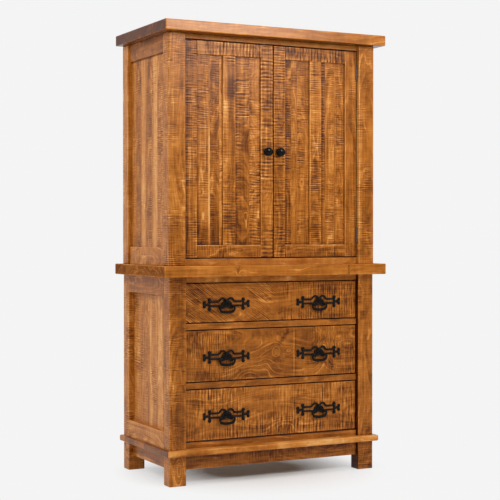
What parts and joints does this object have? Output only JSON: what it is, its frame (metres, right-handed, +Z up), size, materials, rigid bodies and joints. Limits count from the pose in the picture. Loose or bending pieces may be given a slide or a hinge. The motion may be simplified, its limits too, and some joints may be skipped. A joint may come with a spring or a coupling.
{
  "type": "tv armoire",
  "caption": "Tall two-part wooden armoire: panelled doors over a television and shelf space, wide drawers with iron bail pulls below, thick slabs and square feet.",
  "frame": {"origin": "on the floor, under the middle of the slabs in width and depth", "axes": "+X is right seen from the front, +Y towards the back, +Z up"},
  "size_m": [1.067, 0.556, 1.921],
  "materials": {
    "frame_wood": "brown-stained rough-sawn maple, satin lacquer",
    "panel_wood": "brown-stained rough-sawn maple, satin lacquer",
    "slab_wood": "brown-stained planed maple, satin lacquer",
    "drawer_front_wood": "brown-stained rough-sawn maple, satin lacquer",
    "box_wood": "clear-finished maple",
    "ply": "stained birch plywood",
    "black_iron": "cast, matt black",
    "black_gloss": "turned and polished black",
    "bronze_steel": "dark bronze",
    "steel": "zinc-plated",
    "magnet_case": "moulded brown"
  },
  "bodies": {
    "root": {"top_slab": "slab_wood", "waist_slab": "slab_wood", "upper_front_posts": "frame_wood", "upper_back_posts": "frame_wood", "upper_side_rails": "frame_wood", "upper_side_panels": "panel_wood", "upper_front_top_rail": "frame_wood", "upper_front_bottom_rail": "frame_wood", "upper_back_rails": "frame_wood", "upper_back_panel": "ply", "upper_floor": "frame_wood", "upper_shelf": "frame_wood", "shelf_pins": "steel", "lower_front_posts": "frame_wood", "lower_back_posts": "frame_wood", "lower_side_rails": "frame_wood", "lower_side_panels": "panel_wood", "lower_front_rails": "frame_wood", "front_apron": "frame_wood", "side_aprons": "frame_wood", "back_apron": "frame_wood", "lower_back_rails": "frame_wood", "lower_back_panel": "ply", "base_moulding_front": "frame_wood", "base_moulding_sides": "frame_wood", "door_catch_magnets": "magnet_case", "hinge_frame_leaves": "bronze_steel", "hinge_pins": "bronze_steel", "drawer_runners": "box_wood", "drawer_guides": "box_wood"},
    "door_left": {"door_left_stiles": "frame_wood", "door_left_rails": "frame_wood", "door_left_panels": "panel_wood", "door_left_knob": "black_gloss", "door_left_hinge_leaves": "bronze_steel", "door_left_catch_plate": "steel"},
    "door_right": {"door_right_stiles": "frame_wood", "door_right_rails": "frame_wood", "door_right_panels": "panel_wood", "door_right_knob": "black_gloss", "door_right_hinge_leaves": "bronze_steel", "door_right_catch_plate": "steel"},
    "drawer_bottom": {"drawer_bottom_front": "drawer_front_wood", "drawer_bottom_box": "box_wood", "drawer_bottom_bottom": "ply", "drawer_bottom_pulls": "black_iron"},
    "bail_bottom_left": {"drawer_bottom_bail_left": "black_iron"},
    "bail_bottom_right": {"drawer_bottom_bail_right": "black_iron"},
    "drawer_middle": {"drawer_middle_front": "drawer_front_wood", "drawer_middle_box": "box_wood", "drawer_middle_bottom": "ply", "drawer_middle_pulls": "black_iron"},
    "bail_middle_left": {"drawer_middle_bail_left": "black_iron"},
    "bail_middle_right": {"drawer_middle_bail_right": "black_iron"},
    "drawer_top": {"drawer_top_front": "drawer_front_wood", "drawer_top_box": "box_wood", "drawer_top_bottom": "ply", "drawer_top_pulls": "black_iron"},
    "bail_top_left": {"drawer_top_bail_left": "black_iron"},
    "bail_top_right": {"drawer_top_bail_right": "black_iron"}
  },
  "joints": [
    {"name": "door_left_hinge", "type": "hinge", "parent": "root", "child": "door_left", "pos_m": [-0.4162, -0.2188, 1.398], "axis": [0, 0, -1], "range_deg": [0, 110]},
    {"name": "door_right_hinge", "type": "hinge", "parent": "root", "child": "door_right", "pos_m": [0.4162, -0.2188, 1.398], "axis": [0, 0, 1], "range_deg": [0, 110]},
    {"name": "drawer_bottom_slide", "type": "slide", "parent": "root", "child": "drawer_bottom", "axis": [0, -1, 0], "range_m": [0, 0.28]},
    {"name": "drawer_middle_slide", "type": "slide", "parent": "root", "child": "drawer_middle", "axis": [0, -1, 0], "range_m": [0, 0.28]},
    {"name": "drawer_top_slide", "type": "slide", "parent": "root", "child": "drawer_top", "axis": [0, -1, 0], "range_m": [0, 0.28]},
    {"name": "bail_bottom_left_swing", "type": "hinge", "parent": "drawer_bottom", "child": "bail_bottom_left", "pos_m": [-0.224, -0.225, 0.271], "axis": [-1, 0, 0], "range_deg": [-10, 85]},
    {"name": "bail_bottom_right_swing", "type": "hinge", "parent": "drawer_bottom", "child": "bail_bottom_right", "pos_m": [0.224, -0.225, 0.271], "axis": [-1, 0, 0], "range_deg": [-10, 85]},
    {"name": "bail_middle_left_swing", "type": "hinge", "parent": "drawer_middle", "child": "bail_middle_left", "pos_m": [-0.224, -0.225, 0.518], "axis": [-1, 0, 0], "range_deg": [-10, 85]},
    {"name": "bail_middle_right_swing", "type": "hinge", "parent": "drawer_middle", "child": "bail_middle_right", "pos_m": [0.224, -0.225, 0.518], "axis": [-1, 0, 0], "range_deg": [-10, 85]},
    {"name": "bail_top_left_swing", "type": "hinge", "parent": "drawer_top", "child": "bail_top_left", "pos_m": [-0.224, -0.225, 0.74], "axis": [-1, 0, 0], "range_deg": [-10, 85]},
    {"name": "bail_top_right_swing", "type": "hinge", "parent": "drawer_top", "child": "bail_top_right", "pos_m": [0.224, -0.225, 0.74], "axis": [-1, 0, 0], "range_deg": [-10, 85]}
  ]
}
